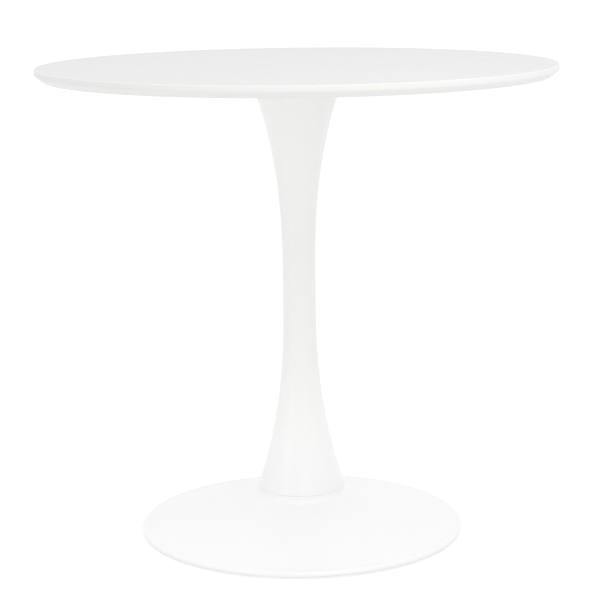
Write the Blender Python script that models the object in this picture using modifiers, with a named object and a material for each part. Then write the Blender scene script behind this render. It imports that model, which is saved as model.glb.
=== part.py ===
"""Round pedestal table: a bevelled board top on a one-piece trumpet column and a spun dish base.

One threaded rod runs down the middle of the column and pulls the parts together.
Metres, +Z up, origin on the floor under the middle of the table.
"""

import math

import bmesh
import bpy
from mathutils import Vector

# Driving dimensions
TABLE_HEIGHT = 0.740
TOP_RADIUS = 0.400
TOP_THICKNESS = 0.018
TOP_BAND = 0.009  # upright part of the top's edge
TOP_BEVEL_INSET = 0.012  # how far the bevel under the edge runs in
TOP_ARRIS = 0.0012

NECK_RADIUS = 0.0259
NECK_LOW = 0.363
NECK_HIGH = 0.422
HEAD_RADIUS = 0.0730  # column radius in the plane of the top's underside
HEAD_POWER = 2.35
FOOT_RADIUS = 0.0689  # column radius at the seam with the base
FOOT_POWER = 2.28
COLUMN_WALL = 0.002
COLUMN_DISC_THICKNESS = 0.004

SEAM_HEIGHT = 0.0698  # lower edge of the column
BASE_RADIUS = 0.255
BASE_WALL = 0.003
BASE_SHOULDER = 0.0025  # rounding where the base meets the column
BASE_DOME_START = (0.0785, 0.0552)
BASE_DOME_POWER = 1.48
BASE_RIM_ROUND = 0.004
BASE_RIM_BOTTOM = 0.0035

PLATE_RADIUS = 0.120
PLATE_THICKNESS = 0.004
SCREW_COUNT = 6
SCREW_CIRCLE = 0.100
SCREW_RADIUS = 0.003
SCREW_LENGTH = 0.0126
SCREW_HEAD_RADIUS = 0.00525
SCREW_HEAD_HEIGHT = 0.0033
INSERT_RADIUS = 0.005
INSERT_LENGTH = 0.0112

ROD_RADIUS = 0.006
ROD_BOTTOM = 0.039
ROD_TOP = 0.712
HUB_RADIUS = 0.014
HUB_LENGTH = 0.036
CLAMP_PLATE_RADIUS = 0.055
CLAMP_PLATE_THICKNESS = 0.004
WASHER_RADIUS = 0.0185
WASHER_THICKNESS = 0.003
SPRING_WASHER_RADIUS = 0.0105
SPRING_WASHER_THICKNESS = 0.0028
WASHER_SPLIT = 0.0014
WASHER_SPLIT_SLANT = math.radians(25)
NUT_ACROSS_FLATS = 0.019
NUT_HEIGHT = 0.0108

RING_INNER_RADIUS = 0.2490
RING_RECESS = 0.0006  # how far the ring stands back from the rim
RING_LIP_HEIGHT = 0.0062

GAP = 0.0003  # between neighbours that touch

TOP_STEPS = 96
COLUMN_STEPS = 36
BASE_STEPS = 48
SMALL_STEPS = 24

# Heights that follow from the dimensions above
UNDERSIDE = TABLE_HEIGHT - TOP_THICKNESS
PLATE_TOP = UNDERSIDE - GAP
PLATE_BOTTOM = PLATE_TOP - PLATE_THICKNESS
COLUMN_TOP = PLATE_BOTTOM - GAP
BASE_TOP = SEAM_HEIGHT - GAP
CLAMP_PLATE_TOP = BASE_TOP - BASE_WALL - GAP
WASHER_TOP = CLAMP_PLATE_TOP - CLAMP_PLATE_THICKNESS - GAP
SPRING_WASHER_TOP = WASHER_TOP - WASHER_THICKNESS - GAP
NUT_TOP = SPRING_WASHER_TOP - SPRING_WASHER_THICKNESS - GAP
ROD_HOLE = ROD_RADIUS + GAP


def clear_scene():
    for obj in list(bpy.data.objects):
        bpy.data.objects.remove(obj)


def new_collection(name):
    collection = bpy.data.collections.new(name)
    bpy.context.scene.collection.children.link(collection)
    return collection


def new_material(name, color, roughness, metallic=0.0):
    material = bpy.data.materials.new(name)
    material.use_nodes = True
    shader = material.node_tree.nodes["Principled BSDF"]
    shader.inputs["Base Color"].default_value = (*color, 1.0)
    shader.inputs["Roughness"].default_value = roughness
    shader.inputs["Metallic"].default_value = metallic
    return material


def add_object(name, mesh, material, collection=None):
    """Links a mesh to the table's collection under the table's empty."""
    obj = bpy.data.objects.new(name, mesh)
    (collection or TABLE).objects.link(obj)
    if material:
        mesh.materials.append(material)
    if collection is None:
        obj.parent = TABLE_ORIGIN
    return obj


def turned(name, profile, material, steps=SMALL_STEPS, closed=True):
    """A turned piece. The profile holds (radius, height) points, down the outer side and back up inside."""
    mesh = bpy.data.meshes.new(name)
    points = [Vector((radius, 0.0, height)) for radius, height in profile]
    edges = [(i, i + 1) for i in range(len(points) - 1)]
    if closed:
        edges.append((len(points) - 1, 0))
    mesh.from_pydata(points, edges, [])
    obj = add_object(name, mesh, material)
    screw = obj.modifiers.new("turn", "SCREW")
    screw.axis = "Z"
    screw.angle = math.tau
    screw.steps = steps
    screw.render_steps = steps
    screw.use_merge_vertices = True
    screw.merge_threshold = 0.00001
    screw.use_smooth_shade = True
    return obj


def ring_profile(outer, inner, top, bottom):
    return [(outer, top), (outer, bottom), (inner, bottom), (inner, top)]


def arc(centre, radius, start, end, count):
    """Points of an arc in the profile plane, from one angle to another, in degrees."""
    points = []
    for i in range(count):
        angle = math.radians(start + (end - start) * i / (count - 1))
        radial = centre[0] + radius * math.cos(angle)
        height = centre[1] + radius * math.sin(angle)
        points.append((radial, height))
    return points


def spread(low, high, count):
    return [low + (high - low) * i / (count - 1) for i in range(count)]


def column_radius(height):
    """Outer radius of the column: a plain neck that opens into a trumpet at both ends."""
    up = max(0.0, height - NECK_HIGH) / (UNDERSIDE - NECK_HIGH)
    down = max(0.0, NECK_LOW - height) / (NECK_LOW - SEAM_HEIGHT)
    head = (HEAD_RADIUS - NECK_RADIUS) * up**HEAD_POWER
    foot = (FOOT_RADIUS - NECK_RADIUS) * down**FOOT_POWER
    return NECK_RADIUS + head + foot


def screw_places():
    for i in range(SCREW_COUNT):
        angle = math.tau * i / SCREW_COUNT
        x = SCREW_CIRCLE * math.cos(angle)
        y = SCREW_CIRCLE * math.sin(angle)
        yield i + 1, Vector((x, y, 0.0))


def prism(name, segments, radius, depth):
    """Mesh of an upright prism about its own middle: a cylinder when it has many sides."""
    shape = bmesh.new()
    bmesh.ops.create_cone(
        shape,
        cap_ends=True,
        segments=segments,
        radius1=radius,
        radius2=radius,
        depth=depth,
    )
    mesh = bpy.data.meshes.new(name)
    shape.to_mesh(mesh)
    shape.free()
    return mesh


def cutter_collection(name):
    cutters = new_collection(name)
    cutters.hide_render = True
    return cutters


def add_cutter(mesh, location, cutters):
    cutter = add_object(mesh.name, mesh, None, cutters)
    cutter.location = location
    cutter.hide_render = True
    cutter.display_type = "WIRE"
    return cutter


def hole_cutters(name, radius, bottom, top):
    """Upright cylinders at the screw places, in a collection of their own that the render leaves out."""
    cutters = cutter_collection(name)
    middle = Vector((0.0, 0.0, (top + bottom) / 2))
    for number, place in screw_places():
        add_cutter(prism(f"{name}_{number}", SMALL_STEPS, radius, top - bottom), place + middle, cutters)
    return cutters


def cut(obj, cutters):
    boolean = obj.modifiers.new("holes", "BOOLEAN")
    boolean.operation = "DIFFERENCE"
    boolean.solver = "EXACT"
    boolean.operand_type = "COLLECTION"
    boolean.collection = cutters


def build_tabletop():
    """Board with an upright band and a bevel under it, with blind holes for the inserts."""
    round_centre = (TOP_RADIUS - TOP_ARRIS, TABLE_HEIGHT - TOP_ARRIS)
    profile = [(0.0, TABLE_HEIGHT)]
    profile += arc(round_centre, TOP_ARRIS, 90, 0, 4)
    profile.append((TOP_RADIUS, TABLE_HEIGHT - TOP_BAND))
    profile.append((TOP_RADIUS - TOP_BEVEL_INSET, UNDERSIDE))
    profile.append((0.0, UNDERSIDE))
    board = turned("tabletop", profile, LACQUER, TOP_STEPS, closed=False)
    blind_end = UNDERSIDE + INSERT_LENGTH + 2 * GAP
    cut(board, hole_cutters("insert_hole", INSERT_RADIUS + GAP, UNDERSIDE - 0.002, blind_end))


def build_inserts():
    """Threaded sleeves pressed into the board, one for each screw."""
    low = UNDERSIDE + GAP
    profile = ring_profile(INSERT_RADIUS, SCREW_RADIUS + GAP, low + INSERT_LENGTH, low)
    for number, place in screw_places():
        turned(f"top_insert_{number}", profile, ZINC, 16).location = place


def build_mounting_plate():
    profile = ring_profile(PLATE_RADIUS, HUB_RADIUS + GAP, PLATE_TOP, PLATE_BOTTOM)
    plate = turned("mounting_plate", profile, POWDER_COAT, TOP_STEPS // 2)
    cut(
        plate,
        hole_cutters("plate_hole", SCREW_RADIUS + 2 * GAP, PLATE_BOTTOM - 0.002, PLATE_TOP + 0.002),
    )


def build_plate_hub():
    """Threaded sleeve that stands through the plate's middle and takes the top of the rod."""
    profile = ring_profile(HUB_RADIUS, ROD_HOLE, PLATE_TOP, PLATE_TOP - HUB_LENGTH)
    turned("plate_hub", profile, ZINC)


def build_plate_screws():
    """Button-head screws, up through the plate into the inserts."""
    head_top = PLATE_BOTTOM - GAP
    head_bottom = head_top - SCREW_HEAD_HEIGHT
    shoulder = 0.0012
    head_edge = (SCREW_HEAD_RADIUS - shoulder, head_bottom + shoulder)
    profile = [(0.0, head_top + SCREW_LENGTH), (SCREW_RADIUS, head_top + SCREW_LENGTH)]
    profile += [(SCREW_RADIUS, head_top), (SCREW_HEAD_RADIUS, head_top)]
    profile += arc(head_edge, shoulder, 0, -90, 3)
    profile.append((0.0, head_bottom))
    for number, place in screw_places():
        screw = turned(f"plate_screw_{number}", profile, ZINC, 16, closed=False)
        screw.location = place


def build_column():
    """Trumpet shell, open at both ends."""
    heights = spread(COLUMN_TOP, NECK_HIGH, 8) + spread(NECK_LOW, SEAM_HEIGHT, 8)
    outside = [(column_radius(height), height) for height in heights]
    inside = [(radius - COLUMN_WALL, height) for radius, height in reversed(outside)]
    turned("column_shell", outside + inside, POWDER_COAT, COLUMN_STEPS)


def column_disc(name, top, hole):
    """A disc that closes the column's mouth from inside, its edge following the flare."""
    bottom = top - COLUMN_DISC_THICKNESS
    slack = COLUMN_WALL + 2 * GAP
    profile = [(column_radius(top) - slack, top), (column_radius(bottom) - slack, bottom)]
    profile += [(hole, bottom), (hole, top)]
    turned(name, profile, RAW_STEEL, COLUMN_STEPS)


def build_column_discs():
    column_disc("column_top_disc", COLUMN_TOP, HUB_RADIUS + 2 * GAP)
    column_disc("column_foot_disc", SEAM_HEIGHT + COLUMN_DISC_THICKNESS, ROD_HOLE)


def build_tie_rod():
    profile = [(0.0, ROD_TOP), (ROD_RADIUS, ROD_TOP), (ROD_RADIUS, ROD_BOTTOM), (0.0, ROD_BOTTOM)]
    turned("tie_rod", profile, ZINC, SMALL_STEPS, closed=False)


def build_base_pan():
    """Spun dish: flat seat, rounded shoulder, fillet, hollow slope and a turned-down rim."""
    seat_edge = FOOT_RADIUS - BASE_SHOULDER
    profile = [(ROD_HOLE, BASE_TOP)]
    profile += arc((seat_edge, BASE_TOP - BASE_SHOULDER), BASE_SHOULDER, 90, 0, 3)
    start_radius, start_height = BASE_DOME_START
    profile.append(((FOOT_RADIUS + start_radius) / 2 - 0.0022, start_height + 0.0048))
    round_centre = (BASE_RADIUS - BASE_RIM_ROUND, BASE_RIM_BOTTOM + 0.003)
    rim = arc(round_centre, BASE_RIM_ROUND, 84, 0, 3)
    end_radius, end_height = rim[0]
    for radius in spread(start_radius, end_radius, 7)[:-1]:
        part = (end_radius - radius) / (end_radius - start_radius)
        height = end_height + (start_height - end_height) * part**BASE_DOME_POWER
        profile.append((radius, height))
    profile += rim
    profile.append((BASE_RADIUS, BASE_RIM_BOTTOM))
    pan = turned("base_pan", profile, POWDER_COAT, BASE_STEPS, closed=False)
    solidify = pan.modifiers.new("sheet", "SOLIDIFY")
    solidify.thickness = BASE_WALL
    solidify.offset = -1.0
    solidify.use_even_offset = True


def build_floor_ring():
    """Soft strip under the rim: its foot carries the sheet's edge and its lip holds it from inside."""
    outer = BASE_RADIUS - RING_RECESS
    lip = BASE_RADIUS - BASE_WALL - GAP
    foot_top = BASE_RIM_BOTTOM - GAP
    profile = [(lip, RING_LIP_HEIGHT), (lip, foot_top), (outer, foot_top), (outer, 0.0)]
    profile += [(RING_INNER_RADIUS, 0.0), (RING_INNER_RADIUS, RING_LIP_HEIGHT)]
    turned("floor_ring", profile, RUBBER, BASE_STEPS)


def build_clamp_stack():
    """What the nut pulls up against the underside of the base."""
    bottom = CLAMP_PLATE_TOP - CLAMP_PLATE_THICKNESS
    plate = ring_profile(CLAMP_PLATE_RADIUS, ROD_HOLE, CLAMP_PLATE_TOP, bottom)
    turned("clamp_plate", plate, RAW_STEEL, BASE_STEPS // 2)
    washer = ring_profile(WASHER_RADIUS, ROD_HOLE, WASHER_TOP, WASHER_TOP - WASHER_THICKNESS)
    turned("flat_washer", washer, ZINC)


def build_spring_washer():
    """Square-section ring, split by a narrow slanting gap."""
    bottom = SPRING_WASHER_TOP - SPRING_WASHER_THICKNESS
    profile = ring_profile(SPRING_WASHER_RADIUS, ROD_HOLE, SPRING_WASHER_TOP, bottom)
    washer = turned("spring_washer", profile, ZINC)
    shape = bmesh.new()
    bmesh.ops.create_cube(shape, size=1.0)
    size = (SPRING_WASHER_RADIUS, WASHER_SPLIT, 4 * SPRING_WASHER_THICKNESS)
    bmesh.ops.scale(shape, verts=shape.verts, vec=size)
    mesh = bpy.data.meshes.new("washer_split")
    shape.to_mesh(mesh)
    shape.free()
    cutters = cutter_collection("washer_split_cutters")
    middle = (SPRING_WASHER_RADIUS + ROD_HOLE) / 2
    slot = add_cutter(mesh, (middle, 0.0, (SPRING_WASHER_TOP + bottom) / 2), cutters)
    slot.rotation_euler.x = WASHER_SPLIT_SLANT
    cut(washer, cutters)


def build_hex_nut():
    corner_radius = NUT_ACROSS_FLATS / 2 / math.cos(math.pi / 6)
    nut = add_object("hex_nut", prism("hex_nut", 6, corner_radius, NUT_HEIGHT), ZINC)
    nut.location.z = NUT_TOP - NUT_HEIGHT / 2
    cutters = cutter_collection("nut_hole_cutters")
    add_cutter(prism("nut_hole", SMALL_STEPS, ROD_HOLE, 2 * NUT_HEIGHT), nut.location, cutters)
    cut(nut, cutters)


clear_scene()
TABLE = new_collection("round_pedestal_table")
TABLE_ORIGIN = bpy.data.objects.new("table_origin", None)
TABLE.objects.link(TABLE_ORIGIN)

LACQUER = new_material("white_lacquer", (0.80, 0.80, 0.80), 0.35)
POWDER_COAT = new_material("white_powder_coat", (0.84, 0.84, 0.82), 0.38)
ZINC = new_material("zinc_plate", (0.62, 0.64, 0.66), 0.35, 1.0)
RAW_STEEL = new_material("bare_steel", (0.42, 0.42, 0.43), 0.45, 1.0)
RUBBER = new_material("grey_rubber", (0.66, 0.66, 0.65), 0.7)

build_tabletop()
build_inserts()
build_mounting_plate()
build_plate_hub()
build_plate_screws()
build_column()
build_column_discs()
build_tie_rod()
build_base_pan()
build_floor_ring()
build_clamp_stack()
build_spring_washer()
build_hex_nut()
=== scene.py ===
import math

import bmesh
import bpy
from mathutils import Matrix, Vector


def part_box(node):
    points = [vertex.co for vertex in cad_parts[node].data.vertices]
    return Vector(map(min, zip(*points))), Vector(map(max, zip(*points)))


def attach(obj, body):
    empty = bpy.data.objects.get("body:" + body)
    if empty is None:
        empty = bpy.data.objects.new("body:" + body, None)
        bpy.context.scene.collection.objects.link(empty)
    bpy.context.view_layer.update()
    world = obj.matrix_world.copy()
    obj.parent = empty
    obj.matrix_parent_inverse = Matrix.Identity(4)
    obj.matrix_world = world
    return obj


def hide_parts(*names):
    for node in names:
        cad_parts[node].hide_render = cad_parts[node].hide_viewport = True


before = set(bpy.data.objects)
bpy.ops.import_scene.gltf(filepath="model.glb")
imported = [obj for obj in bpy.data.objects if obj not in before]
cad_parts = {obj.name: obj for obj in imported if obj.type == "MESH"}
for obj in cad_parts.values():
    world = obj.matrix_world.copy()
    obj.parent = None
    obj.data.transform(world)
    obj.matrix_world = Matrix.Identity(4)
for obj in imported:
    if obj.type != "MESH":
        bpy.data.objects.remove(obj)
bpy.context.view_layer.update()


# Studio
# A pale level floor that runs far past the table and gives off a little light, so no shadow
# gathers under the rim. Even white all round, a broad weak lamp overhead and four softboxes in
# front. The camera stands a little above the table top and looks slightly down.

CAMERA_PLACE = Vector((0.0, -2.8868, 0.9449))
CAMERA_DOWN = math.radians(11.253)
CAMERA_YAW = math.radians(0.019)
CAMERA_ROLL = math.radians(-0.686)
LENS = 112.26
SENSOR = 36.0
WHITE = (1.0, 1.0, 1.0, 1.0)
SURROUND_STRENGTH = 1.08

scene = bpy.context.scene
camera = bpy.data.objects.new("camera", bpy.data.cameras.new("camera"))
camera.data.lens = LENS
camera.data.sensor_width = SENSOR
yaw = Matrix.Rotation(-CAMERA_YAW, 4, "Z")
aim = yaw @ Matrix.Rotation(math.pi / 2 - CAMERA_DOWN, 4, "X")
roll = Matrix.Rotation(CAMERA_ROLL, 4, "Z")
camera.matrix_world = Matrix.Translation(CAMERA_PLACE) @ aim @ roll
scene.collection.objects.link(camera)
scene.camera = camera
scene.view_settings.view_transform = "Standard"

surround = bpy.data.worlds.new("surround")
surround.use_nodes = True
background = surround.node_tree.nodes["Background"]
background.inputs["Color"].default_value = WHITE
background.inputs["Strength"].default_value = SURROUND_STRENGTH
scene.world = surround


def soft_lamp(name, place, target, size, power):
    """A square area lamp that faces its target and isn't itself in the picture."""
    lamp = bpy.data.objects.new(name, bpy.data.lights.new(name, "AREA"))
    lamp.data.size = size
    lamp.data.energy = power
    lamp.location = place
    towards = Vector(target) - Vector(place)
    lamp.rotation_euler = towards.to_track_quat("-Z", "Y").to_euler()
    lamp.visible_camera = False
    scene.collection.objects.link(lamp)
    return lamp


left_softbox = soft_lamp("left_softbox", (-2.2, -2.0, 0.5), (0.0, 0.0, 0.2), 0.9, 2.8)
right_softbox = soft_lamp("right_softbox", (1.25, -1.85, 2.51), (0.0, 0.0, 0.65), 0.9, 15.5)
high_softbox = soft_lamp("high_softbox", (0.85, -1.8, 2.7), (0.0, 0.0, 0.7), 0.9, 5.8)
soft_lamp("front_softbox", (0.8, -3.0, 1.7), (0.0, 0.0, 0.7), 1.0, 6.0)
soft_lamp("overhead", (0.0, -0.6, 3.2), (0.0, 0.0, 0.7), 1.6, 5.0)


class Wire:
    """A shader socket that can stand in an expression; each operator adds a Math node."""

    def __init__(self, tree, socket=None):
        self.tree = tree
        self.socket = socket

    def node(self, kind, settings=None, values=None, out=0):
        """Adds a node: its settings first, then its inputs, and gives one of its outputs."""
        made = self.tree.nodes.new("ShaderNode" + kind)
        for name, setting in (settings or {}).items():
            setattr(made, name, setting)
        for name, value in (values or {}).items():
            self.set(made.inputs[name], value)
        return Wire(self.tree, made.outputs[out])

    def set(self, socket, value):
        if isinstance(value, Wire):
            self.tree.links.new(value.socket, socket)
        else:
            socket.default_value = value

    def feed(self, values):
        """Sets the material's own shader."""
        shader = self.tree.nodes["Principled BSDF"]
        for name, value in values.items():
            self.set(shader.inputs[name], value)

    def math(self, operation, first, second=0.0):
        return self.node("Math", {"operation": operation}, {0: first, 1: second})

    def blend(self, low, high):
        """This wire, 0 to 1, fades from one colour to another."""
        return self.node("Mix", {"data_type": "RGBA"}, {0: self, 6: low, 7: high}, out=2)

    def ramp(self, low, high, start=0.0, end=1.0):
        """This wire's stretch from low to high, spread smoothly from start to end."""
        reach = {"From Min": low, "From Max": high, "To Min": start, "To Max": end}
        settings = {"interpolation_type": "SMOOTHSTEP"}
        return self.node("MapRange", settings, {"Value": self, **reach})

    def __abs__(self):
        return self.math("ABSOLUTE", self)

    def __add__(self, other):
        return self.math("ADD", self, other)

    def __sub__(self, other):
        return self.math("SUBTRACT", self, other)

    def __rsub__(self, other):
        return self.math("SUBTRACT", other, self)

    def __mul__(self, other):
        return self.math("MULTIPLY", self, other)

    __radd__ = __add__
    __rmul__ = __mul__


def new_finish(name, values):
    """A material with the values that are the same all over, a wire and the place on it."""
    material = bpy.data.materials.new(name)
    material.use_nodes = True
    wire = Wire(material.node_tree)
    wire.feed(values)
    return material, wire, wire.node("TexCoord", out="Object")


def noise(wire, place, cell, detail=2.0, roughness=0.5):
    """Cloudy noise from 0 to 1 whose patches are about one cell across, in metres."""
    values = {"Vector": place, "Scale": 1.0 / cell, "Detail": detail, "Roughness": roughness}
    return wire.node("TexNoise", None, values)


def finished(shape, name):
    """The mesh of a shape that has been built face by face."""
    mesh = bpy.data.meshes.new(name)
    shape.to_mesh(mesh)
    shape.free()
    return mesh


FLOOR_RADIUS = 60.0
FLOOR_SEGMENTS = 96
FLOOR_DROP = 0.0002  # keeps the floor just clear of the strip that stands on it
FLOOR_DARK = (0.50, 0.50, 0.50, 1.0)
FLOOR_LIGHT = (0.52, 0.52, 0.52, 1.0)
FLOOR_SHEEN = {
    "Specular IOR Level": 0.1,
    "Emission Color": WHITE,
    "Emission Strength": 0.50,
}

floor_paint, wire, place = new_finish("pale_floor", FLOOR_SHEEN)
wire.feed(
    {
        "Base Color": noise(wire, place, 1.2).blend(FLOOR_DARK, FLOOR_LIGHT),
        "Roughness": noise(wire, place, 0.3).ramp(0.2, 0.8, 0.8, 0.9),
    }
)
shape = bmesh.new()
bmesh.ops.create_circle(shape, cap_ends=True, segments=FLOOR_SEGMENTS, radius=FLOOR_RADIUS)
floor = bpy.data.objects.new("floor", finished(shape, "floor"))
floor.data.materials.append(floor_paint)
floor.location.z = -FLOOR_DROP
scene.collection.objects.link(floor)


# Tabletop
# An 18 mm fibreboard disc. Its edge is an upright band with a softened upper arris and a bevel
# below, sprayed all round with satin white lacquer. Blind holes underneath take the inserts.

BAND_HEIGHT = 0.009
BEVEL_INSET = 0.012
ARRIS = 0.0013
BAND_ROUNDING = 0.004
LOWER_ROUNDING = 0.0025
TOP_SEGMENTS = 288
INSERT_HOLE = 0.0053
HOLE_SPARE = 0.0005  # how much deeper than its insert a blind hole is
HOLE_SIDES = 32
CUT_PAST = 0.001  # how far a drill starts outside the face that it enters
SAME_PLACE = 1e-7
SOFTEST_CREASE = math.radians(32)

LACQUER_DARK = (0.604, 0.603, 0.600, 1.0)
LACQUER_LIGHT = (0.630, 0.629, 0.626, 1.0)
BAND_WARM_LIT_TONE = (0.705, 0.703, 0.686, 1.0)
BEVEL_WARM_LIT_TONE = (0.738, 0.736, 0.720, 1.0)
ARRIS_HIGHLIGHT_TONE = (0.725, 0.725, 0.715, 1.0)
BOARD_UNDER_LIT_TONE = (0.76, 0.75, 0.73, 1.0)


def rounded(corners, steps=6):
    """An outline through (radius, height, rounding) corners; a rounding is a touching arc."""
    outline = []
    for i, (radius, height, rounding) in enumerate(corners):
        here = Vector((radius, height))
        if not rounding:
            outline.append(here)
            continue
        before = (Vector(corners[i - 1][:2]) - here).normalized()
        after = (Vector(corners[(i + 1) % len(corners)][:2]) - here).normalized()
        half = before.angle(after) / 2
        centre = here + (before + after).normalized() * (rounding / math.sin(half))
        first = (here + before * (rounding / math.tan(half)) - centre).normalized()
        last = (here + after * (rounding / math.tan(half)) - centre).normalized()
        for k in range(steps + 1):
            outline.append(centre + first.slerp(last, k / steps) * rounding)
    return outline


def turn(name, outline, segments=64, closed=True):
    """A turned mesh. The outline runs down the outer side and, if closed, back up inside."""
    shape = bmesh.new()
    verts = [shape.verts.new((radius, 0.0, height)) for radius, height in outline]
    edges = [shape.edges.new(pair) for pair in zip(verts, verts[1:])]
    if closed:
        edges.append(shape.edges.new((verts[-1], verts[0])))
    bmesh.ops.spin(
        shape,
        geom=verts + edges,
        axis=(0.0, 0.0, 1.0),
        cent=(0.0, 0.0, 0.0),
        angle=math.tau,
        steps=segments,
        use_merge=True,
    )
    bmesh.ops.remove_doubles(shape, verts=shape.verts, dist=SAME_PLACE)
    bmesh.ops.recalc_face_normals(shape, faces=shape.faces)
    return finished(shape, name)


def prism(name, sides, radius, low, high, at=(0.0, 0.0)):
    """An upright prism between two heights: a cylinder when it has many sides."""
    shape = bmesh.new()
    bmesh.ops.create_cone(
        shape,
        cap_ends=True,
        segments=sides,
        radius1=radius,
        radius2=radius,
        depth=high - low,
        matrix=Matrix.Translation((*at, (low + high) / 2)),
    )
    return finished(shape, name)


def carved(mesh, cutters, operation="DIFFERENCE"):
    """The mesh with other meshes cut from it, joined to it, or what it shares with them."""
    body = bpy.data.objects.new("carving", mesh)
    scene.collection.objects.link(body)
    tools = []
    for cutter in cutters:
        tool = bpy.data.objects.new("cutter", cutter)
        scene.collection.objects.link(tool)
        tools.append(tool)
        boolean = body.modifiers.new("carve", "BOOLEAN")
        boolean.operation = operation
        boolean.solver = "EXACT"
        boolean.object = tool
    graph = bpy.context.evaluated_depsgraph_get()
    made = bpy.data.meshes.new_from_object(body.evaluated_get(graph))
    made.name = mesh.name
    for obj in [body, *tools]:
        bpy.data.objects.remove(obj)
    return made


def add_piece(name, mesh, finish, replaced):
    """Puts a finished mesh on the table's body in place of a CAD node."""
    mesh.shade_smooth()
    mesh.set_sharp_from_angle(angle=SOFTEST_CREASE)
    mesh.materials.clear()
    mesh.materials.append(finish)
    piece = bpy.data.objects.new(name, mesh)
    scene.collection.objects.link(piece)
    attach(piece, "root")
    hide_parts(replaced)
    return piece


def numbered(name):
    """The CAD nodes of one kind of fastener, in order."""
    count = sum(node.startswith(name + "_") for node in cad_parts)
    return [f"{name}_{i}" for i in range(1, 1 + count)]


def axis_of(node):
    """Where an upright piece's own middle line stands."""
    low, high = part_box(node)
    return ((low + high) / 2).xy


def height_in(wire, vector):
    return wire.node("SeparateXYZ", None, {"Vector": vector}, out="Z")


def bump(wire, relief, depth, under=None):
    """The normal of a relief, from 0 to its depth in metres, over a broader one if given."""
    values = {"Height": relief, "Distance": depth}
    if under:
        values["Normal"] = under
    return wire.node("Bump", None, values)


LACQUER_SHEEN = {
    "Specular IOR Level": 0.2,
    "IOR": 1.5,
    "Coat Roughness": 0.12,
    "Coat IOR": 1.5,
}
lacquer, wire, place = new_finish("satin_lacquer", LACQUER_SHEEN)
facing_up = height_in(wire, wire.node("NewGeometry", out="Normal"))
underside = facing_up.ramp(-0.9, -0.99)
edge = 1.0 - abs(facing_up).ramp(0.80, 0.97)
arris = facing_up.ramp(0.10, 0.45) * (1.0 - facing_up.ramp(0.93, 0.99))
bevel = facing_up.ramp(-0.3, -0.6)
clouds = noise(wire, place, 0.22, detail=3.0)
rubbing = noise(wire, place, 0.035, detail=4.0, roughness=0.65)
fibre = noise(wire, place, 0.0009, detail=3.0)
tone = clouds.blend(LACQUER_DARK, LACQUER_LIGHT)
# The band and bevel take a warmer tone, as the board's edge holds the lacquer so, and a lighter
# one than the top face, which is painted light.
tone = edge.blend(tone, BAND_WARM_LIT_TONE)
tone = (bevel * edge).blend(tone, BEVEL_WARM_LIT_TONE)
# Painted highlight: the rounded arris between the top face and the band gets a lighter tone.
tone = arris.blend(tone, ARRIS_HIGHLIGHT_TONE)
# Painted light: the board's underside is given a lighter tone than its top face.
tone = (underside * 0.8).blend(tone, BOARD_UNDER_LIT_TONE)
sheen = rubbing.ramp(0.25, 0.75, 0.37, 0.43)
waviness = bump(wire, noise(wire, place, 0.03), 0.00003)
wire.feed(
    {
        "Base Color": tone,
        "Roughness": sheen + edge * fibre * 0.10 + underside * 0.2,
        "Coat Weight": 0.05 - underside * 0.04,
        "Normal": bump(wire, noise(wire, place, 0.0017, detail=1.0), 0.000010, waviness),
    }
)

top_low, top_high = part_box("tabletop")
top_radius = top_high.x
outline = rounded(
    [
        (0.0, top_high.z, 0.0),
        (top_radius, top_high.z, ARRIS),
        (top_radius, top_high.z - BAND_HEIGHT, BAND_ROUNDING),
        (top_radius - BEVEL_INSET, top_low.z, LOWER_ROUNDING),
        (0.0, top_low.z, 0.0),
    ]
)
blank = turn("board", outline, TOP_SEGMENTS, closed=False)
insert_low, insert_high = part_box("top_insert_1")
hole_span = (top_low.z - CUT_PAST, insert_high.z + HOLE_SPARE)
holes = []
for node in numbered("top_insert"):
    holes.append(prism("hole", HOLE_SIDES, INSERT_HOLE, *hole_span, axis_of(node)))
drilled = carved(blank, holes)
board = add_piece("board_lacquered", drilled, lacquer, "tabletop")


def flag(lamp, piece, reach):
    """Black flags round a lamp let it light only this piece, or keep it off this piece."""
    flagged = bpy.data.collections.new(lamp.name + "_flags")
    flagged.objects.link(piece)
    flagged.collection_objects[0].light_linking.link_state = reach
    lamp.light_linking.receiver_collection = flagged


flag(right_softbox, board, "INCLUDE")
flag(left_softbox, board, "EXCLUDE")
flag(high_softbox, board, "EXCLUDE")


# Column
# One trumpet of spun sheet steel, open at both ends: a plain neck that flares to the top and to
# the base, its cut edges just broken. Powder coated white and left as it comes from the oven.

NECK_RADIUS = 0.0259
NECK_LOW = 0.363
NECK_HIGH = 0.422
HEAD_RADIUS = 0.0730
HEAD_POWER = 2.35
FOOT_RADIUS = 0.0689
FOOT_POWER = 2.28
COLUMN_WALL = 0.002
HEAD_EDGE = 0.0007
FOOT_EDGE = 0.0003
COLUMN_SEGMENTS = 128
COLUMN_RINGS = 72

COAT_DARK = (0.757, 0.756, 0.741, 1.0)
COAT_LIGHT = (0.769, 0.768, 0.753, 1.0)
FLARE_LIT_TONE = (0.820, 0.821, 0.809, 1.0)
FOOT_LIT_TONE = (0.808, 0.809, 0.807, 1.0)
DISH_LIT_TONE = (0.857, 0.857, 0.857, 1.0)
COLLAR_SHADE_TONE = (0.845, 0.845, 0.843, 1.0)
RIM_SHADE_TONE = (0.795, 0.795, 0.791, 1.0)
COAT_UNDER_SHADE_TONE = (0.74, 0.74, 0.73, 1.0)

# Heights between which one tone of the coat fades into the next.
FOOT_FADE = (0.25, 0.09)
COLLAR_FADE = (0.052, 0.062)
RIM_FADE = (0.0115, 0.0065)
SEAM_FADE = 0.0003
FLARE_FADE = (0.06, 0.30)  # away from the middle of the neck

column_low, column_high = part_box("column_shell")


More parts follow.
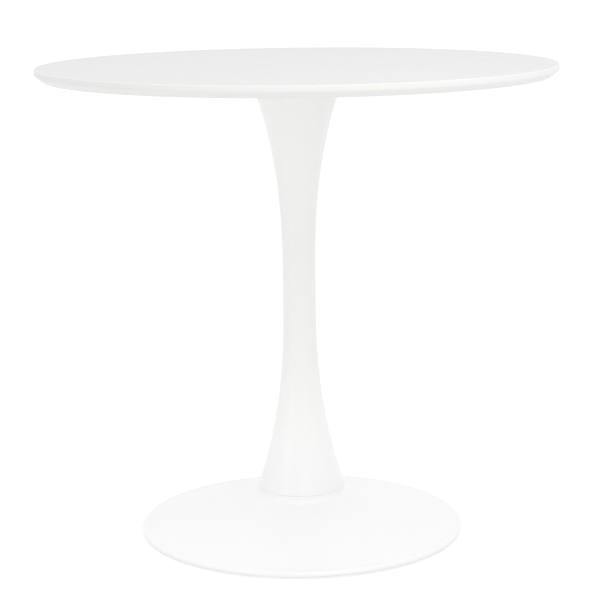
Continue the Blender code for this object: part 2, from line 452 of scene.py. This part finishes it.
def column_radius(height):
    """The column's outer radius at a height."""
    up = max(0.0, height - NECK_HIGH) / (top_low.z - NECK_HIGH)
    down = max(0.0, NECK_LOW - height) / (NECK_LOW - column_low.z)
    head = (HEAD_RADIUS - NECK_RADIUS) * up**HEAD_POWER
    foot = (FOOT_RADIUS - NECK_RADIUS) * down**FOOT_POWER
    return NECK_RADIUS + head + foot


def spread(low, high, count):
    return [low + (high - low) * i / (count - 1) for i in range(count)]


def corners_at(points, rounding=0.0):
    """Corners for an outline at these points, all rounded alike."""
    return [(*point, rounding) for point in points]


COAT_SHEEN = {
    "Specular IOR Level": 0.5,
    "IOR": 1.5,
    "Coat Roughness": 0.18,
    "Coat IOR": 1.5,
}
powder_coat, wire, place = new_finish("powder_coat", COAT_SHEEN)
facing_up = height_in(wire, wire.node("NewGeometry", out="Normal"))
level = height_in(wire, place)
underside = facing_up.ramp(-0.35, -0.6)
flare = abs(level - (NECK_LOW + NECK_HIGH) / 2).ramp(*FLARE_FADE)
on_base = level.ramp(column_low.z, column_low.z - SEAM_FADE)
collar = level.ramp(*COLLAR_FADE) * facing_up.ramp(0.95, 0.55) * on_base
tone = noise(wire, place, 0.09, detail=3.0).blend(COAT_DARK, COAT_LIGHT)
# Painted light: the coat is lighter on the flares and low down than at the neck.
tone = flare.blend(tone, FLARE_LIT_TONE)
tone = level.ramp(*FOOT_FADE).blend(tone, FOOT_LIT_TONE)
# Painted light: the dish wears the column's coat in a lighter tone.
tone = on_base.blend(tone, DISH_LIT_TONE)
# Painted shade: the steep collar and fillet round the seat are darker than the rest of the
# dish.
tone = collar.blend(tone, COLLAR_SHADE_TONE)
# Painted shade: the dish darkens towards the rim's edge on the floor.
tone = level.ramp(*RIM_FADE).blend(tone, RIM_SHADE_TONE)
# Painted shade: faces that look downward are darker.
tone = (underside * 0.7).blend(tone, COAT_UNDER_SHADE_TONE)
sheen = noise(wire, place, 0.02, detail=4.0).ramp(0.2, 0.8, 0.33, 0.43)
waviness = bump(wire, noise(wire, place, 0.018), 0.00002)
wire.feed(
    {
        "Base Color": tone,
        "Roughness": sheen + underside * 0.15,
        "Coat Weight": 0.20 - underside * 0.15,
        "Normal": bump(wire, noise(wire, place, 0.0012, detail=1.0), 0.000014, waviness),
    }
)

outer = []
inner = []
for height in spread(column_high.z, column_low.z, COLUMN_RINGS):
    outer.append((column_radius(height), height))
    inner.insert(0, (column_radius(height) - COLUMN_WALL, height))
corners = corners_at(outer[:1], HEAD_EDGE) + corners_at(outer[1:-1])
corners += corners_at([outer[-1], inner[0]], FOOT_EDGE)
corners += corners_at(inner[1:-1]) + corners_at(inner[-1:], HEAD_EDGE)
column = turn("trumpet", rounded(corners, steps=4), COLUMN_SEGMENTS)
add_piece("trumpet_shell", column, powder_coat, "column_shell")


# Base
# A spun steel dish, hollow below: a flat seat for the column with a short collar, a fillet and
# a long hollow slope that ends in a rim turned straight down. Same powder coat as the column.

BASE_WALL = 0.003
BASE_EDGE = 0.0005
SEAM_GAP = 0.00005
SHOULDER = 0.0010
COLLAR_HEIGHT = 0.0035
SLOPE_START = Vector((0.0785, 0.0552))
SLOPE_POWER = 1.48
RIM_ROUNDING = 0.004
RIM_CENTRE = 0.003  # height of the rounding's middle above the dish's cut edge
RIM_START = math.radians(84)
RIM_RINGS = 10
SEAT_ROUNDING = 0.0002
ROD_HOLE = 0.0063
BASE_SEGMENTS = 256
SLOPE_RINGS = 40
FILLET_RINGS = 12

base_low, base_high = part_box("base_pan")
base_radius = base_high.x


def bend(start, corner, end, count):
    """Points of a smooth bend that leaves its start and reaches its end along its corner."""
    points = []
    for t in spread(0, 1, count):
        points.append(start * (1 - t) ** 2 + corner * (2 * t * (1 - t)) + end * t**2)
    return points


def inner_face(outer, wall):
    """The inner face of a sheet whose outer face is given."""
    inner = []
    for i, here in enumerate(outer):
        along = outer[min(i + 1, len(outer) - 1)] - outer[max(i - 1, 0)]
        along.normalize()
        inner.append(here + Vector((along.y, -along.x)) * wall)
    return inner


rim_centre = Vector((base_radius - RIM_ROUNDING, base_low.z + RIM_CENTRE))
rim = []
for angle in spread(RIM_START, 0.0, RIM_RINGS):
    rim.append(rim_centre + Vector((math.cos(angle), math.sin(angle))) * RIM_ROUNDING)
slope_end = rim[0]
run = slope_end.x - SLOPE_START.x
rise = SLOPE_START.y - slope_end.y
slope = []
for radius in spread(SLOPE_START.x, slope_end.x, SLOPE_RINGS)[:-1]:
    part = (slope_end.x - radius) / run
    slope.append(Vector((radius, slope_end.y + rise * part**SLOPE_POWER)))
steepness = SLOPE_POWER * rise / run
fillet_top = Vector((FOOT_RADIUS, base_high.z - COLLAR_HEIGHT))
fillet_height = SLOPE_START.y + steepness * (SLOPE_START.x - FOOT_RADIUS)
fillet_corner = Vector((FOOT_RADIUS, fillet_height))
fillet = bend(fillet_top, fillet_corner, SLOPE_START, FILLET_RINGS)[:-1]
sheet = fillet + slope + rim
cut_edge = Vector((base_radius, base_low.z))
inside = inner_face([*sheet, cut_edge], BASE_WALL)

seat = column_low.z - SEAM_GAP
under_seat = base_high.z - BASE_WALL
corners = [(ROD_HOLE, seat, BASE_EDGE), (FOOT_RADIUS, seat, SHOULDER)]
corners += corners_at(sheet)
corners += corners_at([cut_edge, inside[-1]], BASE_EDGE)
corners += corners_at(reversed(inside[:-1]))
corners += [(FOOT_RADIUS - BASE_WALL, under_seat, SEAT_ROUNDING)]
corners += [(ROD_HOLE, under_seat, BASE_EDGE)]
dish = turn("dish", rounded(corners, steps=4), BASE_SEGMENTS)
add_piece("base_dish", dish, powder_coat, "base_pan")


# Rim strip
# A soft grey moulded strip pressed up inside the rim. The sheet's edge sits on its foot, so the
# painted steel never touches the floor.

STRIP_FOOT = 0.0032
STRIP_INNER = 0.2490
STRIP_SLACK = 0.0003
STRIP_ROUNDING = 0.0008
FOOT_ROUNDING = 0.0004
STRIP_DARK = (0.77, 0.77, 0.76, 1.0)
STRIP_LIGHT = (0.84, 0.84, 0.83, 1.0)

rubber, wire, place = new_finish("soft_strip", {"Specular IOR Level": 0.3})
grain = noise(wire, place, 0.0006, detail=3.0)
dust = noise(wire, place, 0.03, detail=4.0)
wire.feed(
    {
        "Base Color": dust.blend(STRIP_DARK, STRIP_LIGHT),
        "Roughness": grain.ramp(0.3, 0.7, 0.70, 0.85),
        "Normal": bump(wire, grain, 0.00003),
    }
)

strip_low, strip_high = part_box("floor_ring")
strip_lip = base_radius - BASE_WALL - STRIP_SLACK
outline = rounded(
    [
        (strip_lip, strip_high.z, STRIP_ROUNDING),
        (strip_lip, STRIP_FOOT, 0.0),
        (strip_high.x, STRIP_FOOT, FOOT_ROUNDING),
        (strip_high.x, strip_low.z, STRIP_ROUNDING),
        (STRIP_INNER, strip_low.z, STRIP_ROUNDING),
        (STRIP_INNER, strip_high.z, STRIP_ROUNDING),
    ],
    steps=4,
)
strip = turn("strip", outline, BASE_SEGMENTS)
add_piece("rim_strip", strip, rubber, "floor_ring")


# Flange under the top
# A 4 mm laser-cut steel disc, its edge dressed, powder coated like the column. Six clearance
# holes take the screws, and a zinc-plated threaded sleeve is welded flush into its middle.

FLANGE_ROUNDING = 0.0007
FLANGE_SEGMENTS = 144
SCREW_CLEARANCE = 0.0036
WELD_GAP = 0.0003
SLEEVE_CHAMFER = 0.0010
SLEEVE_SEGMENTS = 48
ROD_RADIUS = 0.006
ROD_ROOT = 0.0052
ROD_PITCH = 0.00175
ROD_COUNTERSINK = 0.0066
THREAD_SIDES = 24
THREAD_PROFILE = (0.0625, 0.375, 0.625, 0.9375)  # corners within one turn
THREAD_ROOT = 0.25
THREAD_FLANK = 0.625
THREAD_SLACK = 0.0003
DRILL_UNDER = 0.0002  # how much smaller the drill is than the thread's root
SAME_CREST = 1e-6
ZINC_BLUE = (0.55, 0.58, 0.60, 1.0)
ZINC_GREY = (0.67, 0.68, 0.68, 1.0)


def ring(inner, outer, low, high, rounding):
    """Outline of a flat ring whose four corners are rounded."""
    points = [(inner, high), (outer, high), (outer, low), (inner, low)]
    return rounded(corners_at(points, rounding), steps=3)


def threaded(name, crest, root, pitch, low, high):
    """A solid rod with a thread along all of it. Threads of one pitch always run in step."""
    shape = bmesh.new()
    first = math.floor(low / pitch) - 2
    last = math.ceil(high / pitch) + 1
    rows = [lap + part for lap in range(first, last) for part in THREAD_PROFILE]
    columns = []
    for i in range(THREAD_SIDES + 1):
        around = i / THREAD_SIDES
        angle = math.tau * around
        column = []
        for row in rows:
            height = min(max((row + around) * pitch, low), high)
            from_root = abs((height / pitch - around) % 1.0 - 0.5) * 2
            depth = min(max((from_root - THREAD_ROOT) / THREAD_FLANK, 0.0), 1.0)
            from_end = min(height - low, high - height)
            radius = min(root + (crest - root) * depth, root + from_end)
            spot = (radius * math.cos(angle), radius * math.sin(angle), height)
            column.append(shape.verts.new(spot))
        columns.append(column)
    for here, there in zip(columns, columns[1:]):
        for k in range(len(rows) - 1):
            shape.faces.new((here[k], there[k], there[k + 1], here[k + 1]))
    bmesh.ops.remove_doubles(shape, verts=shape.verts, dist=SAME_CREST)
    open_edges = [side for side in shape.edges if side.is_boundary]
    bmesh.ops.holes_fill(shape, edges=open_edges)
    bmesh.ops.recalc_face_normals(shape, faces=shape.faces)
    return finished(shape, name)


def tapped(mesh, crest, root, pitch, low, high):
    """The mesh with a threaded hole down its middle."""
    reach = 2 * pitch
    bore = (crest + THREAD_SLACK, root + THREAD_SLACK)
    return carved(mesh, [threaded("tap", *bore, pitch, low - reach, high + reach)])


def threaded_blank(name, outer, low, high, chamfer):
    """A short chamfered rod with a drilled and countersunk hole, ready for the rod's thread."""
    inset, drop = chamfer
    drill = ROD_ROOT - DRILL_UNDER
    outline = [
        (ROD_COUNTERSINK, high),
        (outer - inset, high),
        (outer, high - drop),
        (outer, low + drop),
        (outer - inset, low),
        (ROD_COUNTERSINK, low),
        (drill, low + ROD_COUNTERSINK - drill),
        (drill, high - ROD_COUNTERSINK + drill),
    ]
    return turn(name, outline, SLEEVE_SEGMENTS)


zinc, wire, place = new_finish("zinc_plating", {"Metallic": 1.0})
mottle = noise(wire, place, 0.004, detail=4.0, roughness=0.6)
scratches = noise(wire, place, 0.0007, detail=3.0)
wire.feed(
    {
        "Base Color": mottle.blend(ZINC_BLUE, ZINC_GREY),
        "Roughness": mottle.ramp(0.3, 0.7, 0.26, 0.40),
        "Normal": bump(wire, scratches, 0.000012),
    }
)

plate_low, plate_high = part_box("mounting_plate")
hub_low, hub_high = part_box("plate_hub")
plate_span = (plate_low.z, plate_high.z)
outline = ring(hub_high.x + WELD_GAP, plate_high.x, *plate_span, FLANGE_ROUNDING)
hole_span = (plate_low.z - CUT_PAST, plate_high.z + CUT_PAST)
holes = []
for node in numbered("plate_screw"):
    holes.append(prism("hole", HOLE_SIDES, SCREW_CLEARANCE, *hole_span, axis_of(node)))
flange = carved(turn("flange", outline, FLANGE_SEGMENTS), holes)
add_piece("flange_plate", flange, powder_coat, "mounting_plate")

hub_span = (hub_low.z, hub_high.z)
sleeve = threaded_blank("sleeve", hub_high.x, *hub_span, (SLEEVE_CHAMFER, SLEEVE_CHAMFER))
sleeve = tapped(sleeve, ROD_RADIUS, ROD_ROOT, ROD_PITCH, *hub_span)
add_piece("hub_sleeve", sleeve, zinc, "plate_hub")


# Screws and inserts
# M6 button-head screws with a hexagon socket, up through the flange into steel sleeves that are
# screwed into the board by a coarse outer thread. All are zinc plated.

SCREW_RADIUS = 0.003
SCREW_ROOT = 0.0024
SCREW_PITCH = 0.001
HEAD_HEIGHT = 0.0033
HEAD_LAND = 0.0008
HEAD_ROUNDING = 0.0003
HEAD_SEGMENTS = 40
CROWN_START = math.radians(12)
CROWN_END = math.radians(62)
CROWN_RINGS = 7
FACE_SHARE = 0.52  # of the head's radius
SHANK_ROOTED = 0.0005  # how far the shank starts inside the head
SOCKET_FLATS = 0.004
SOCKET_DEPTH = 0.0021
INSERT_PITCH = 0.002
INSERT_ROOT = 0.0043

screw_low, screw_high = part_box("plate_screw_1")
head_radius = (screw_high.y - screw_low.y) / 2
head_top = screw_low.z + HEAD_HEIGHT
button = [(0.0, head_top, 0.0), (head_radius, head_top, HEAD_ROUNDING)]
for angle in spread(CROWN_START, CROWN_END, CROWN_RINGS):
    radius = head_radius * math.cos(angle) / math.cos(CROWN_START)
    rise = (1.0 - math.sin(angle)) / (1.0 - math.sin(CROWN_START))
    button.append((radius, screw_low.z + (HEAD_HEIGHT - HEAD_LAND) * rise, 0.0))
button += [(head_radius * FACE_SHARE, screw_low.z, 0.0), (0.0, screw_low.z, 0.0)]
head = turn("button", rounded(button, steps=3), HEAD_SEGMENTS, closed=False)

screw_thread = (SCREW_RADIUS, SCREW_ROOT, SCREW_PITCH)
shank = threaded("shank", *screw_thread, head_top - SHANK_ROOTED, screw_high.z)
socket_corner = SOCKET_FLATS / 2 / math.cos(math.pi / 6)
socket_span = (screw_low.z - CUT_PAST, screw_low.z + SOCKET_DEPTH)
socket = prism("socket", 6, socket_corner, *socket_span)
button_screw = carved(carved(head, [shank], "UNION"), [socket])

insert_radius = (insert_high.y - insert_low.y) / 2
insert_span = (insert_low.z, insert_high.z)
insert = threaded("insert", insert_radius, INSERT_ROOT, INSERT_PITCH, *insert_span)
insert = tapped(insert, *screw_thread, *insert_span)

for number, node in enumerate(numbered("plate_screw"), 1):
    held_in = f"top_insert_{number}"
    mesh = button_screw.copy()
    screw = add_piece(f"button_screw_{number}", mesh, zinc, node)
    mesh = insert.copy()
    sleeve = add_piece(f"insert_sleeve_{number}", mesh, zinc, held_in)
    screw.location.xy = sleeve.location.xy = axis_of(node)


# Discs inside the column
# Bare steel discs let into the two mouths of the trumpet, so that the rod's pull reaches its
# wall. The upper one slips over the flange's sleeve; both are cut to the slant of the flare.

DISC_SLACK = 0.0023
DISC_ROUNDING = 0.0004
DISC_SEGMENTS = 96
SLEEVE_CLEARANCE = 0.0006
STEEL_DARK = (0.27, 0.27, 0.28, 1.0)
STEEL_LIGHT = (0.47, 0.46, 0.45, 1.0)

bare_steel, wire, place = new_finish("oiled_steel", {"Metallic": 1.0})
scale = noise(wire, place, 0.012, detail=5.0, roughness=0.65)
grain = noise(wire, place, 0.0008, detail=3.0)
wire.feed(
    {
        "Base Color": scale.blend(STEEL_DARK, STEEL_LIGHT),
        "Roughness": scale.ramp(0.3, 0.7, 0.34, 0.56),
        "Normal": bump(wire, grain, 0.00002),
    }
)

for name, node, bore in (
    ("upper_disc", "column_top_disc", hub_high.x + SLEEVE_CLEARANCE),
    ("lower_disc", "column_foot_disc", ROD_HOLE),
):
    low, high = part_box(node)
    points = [
        (bore, high.z),
        (column_radius(high.z) - DISC_SLACK, high.z),
        (column_radius(low.z) - DISC_SLACK, low.z),
        (bore, low.z),
    ]
    outline = rounded(corners_at(points, DISC_ROUNDING), steps=3)
    disc = turn(name, outline, DISC_SEGMENTS)
    add_piece(name, disc, bare_steel, node)


# Rod
# M12 zinc-plated studding from the flange's sleeve down through the column and the base. The
# nut under the base pulls everything together with it.

rod_low, rod_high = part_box("tie_rod")
stud = threaded("stud", ROD_RADIUS, ROD_ROOT, ROD_PITCH, rod_low.z, rod_high.z)
add_piece("threaded_rod", stud, zinc, "tie_rod")


# Clamp under the base
# A bare steel plate that spreads the load, then a plain washer, a split spring washer and a
# chamfered hexagon nut, all on the rod.

NUT_FLATS = 0.019
NUT_FACE = 0.0090
WASHER_BORE = 0.0065
PLATE_ROUNDING = 0.0005
WASHER_ROUNDING = 0.0003
WASHER_SEGMENTS = 96
SPRING_SEGMENTS = 72
SPLIT_WIDTH = 0.0014
SPLIT_HEIGHT = 0.02
SPLIT_SLANT = math.radians(25)

for name, node, finish, material_slot, rounding in (
    ("backing_plate", "clamp_plate", bare_steel, "bare_steel", PLATE_ROUNDING),
    ("plain_washer", "flat_washer", zinc, "zinc_plate", WASHER_ROUNDING),
):
    low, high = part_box(node)
    outline = ring(WASHER_BORE, high.x, low.z, high.z, rounding)
    add_piece(name, turn(name, outline, WASHER_SEGMENTS), finish, node)

low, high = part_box("spring_washer")
outline = ring(WASHER_BORE, high.y, low.z, high.z, WASHER_ROUNDING)
spring = turn("spring", outline, SPRING_SEGMENTS)
shape = bmesh.new()
size = Matrix.Diagonal((2 * WASHER_BORE, SPLIT_WIDTH, SPLIT_HEIGHT, 1.0))
slant = Matrix.Rotation(SPLIT_SLANT, 4, "X")
at = Matrix.Translation((high.y, 0.0, (low.z + high.z) / 2))
bmesh.ops.create_cube(shape, size=1.0, matrix=at @ slant @ size)
split = carved(spring, [finished(shape, "split")])
add_piece("split_washer", split, zinc, "spring_washer")

low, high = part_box("hex_nut")
corner = NUT_FLATS / 2 / math.cos(math.pi / 6)
chamfer = (corner - NUT_FACE, (corner - NUT_FACE) * math.tan(math.pi / 6))
blank = threaded_blank("nut", corner, low.z, high.z, chamfer)
nut = carved(prism("hexagon", 6, corner, low.z, high.z), [blank], "INTERSECT")
nut = tapped(nut, ROD_RADIUS, ROD_ROOT, ROD_PITCH, low.z, high.z)
add_piece("hexagon_nut", nut, zinc, "hex_nut")
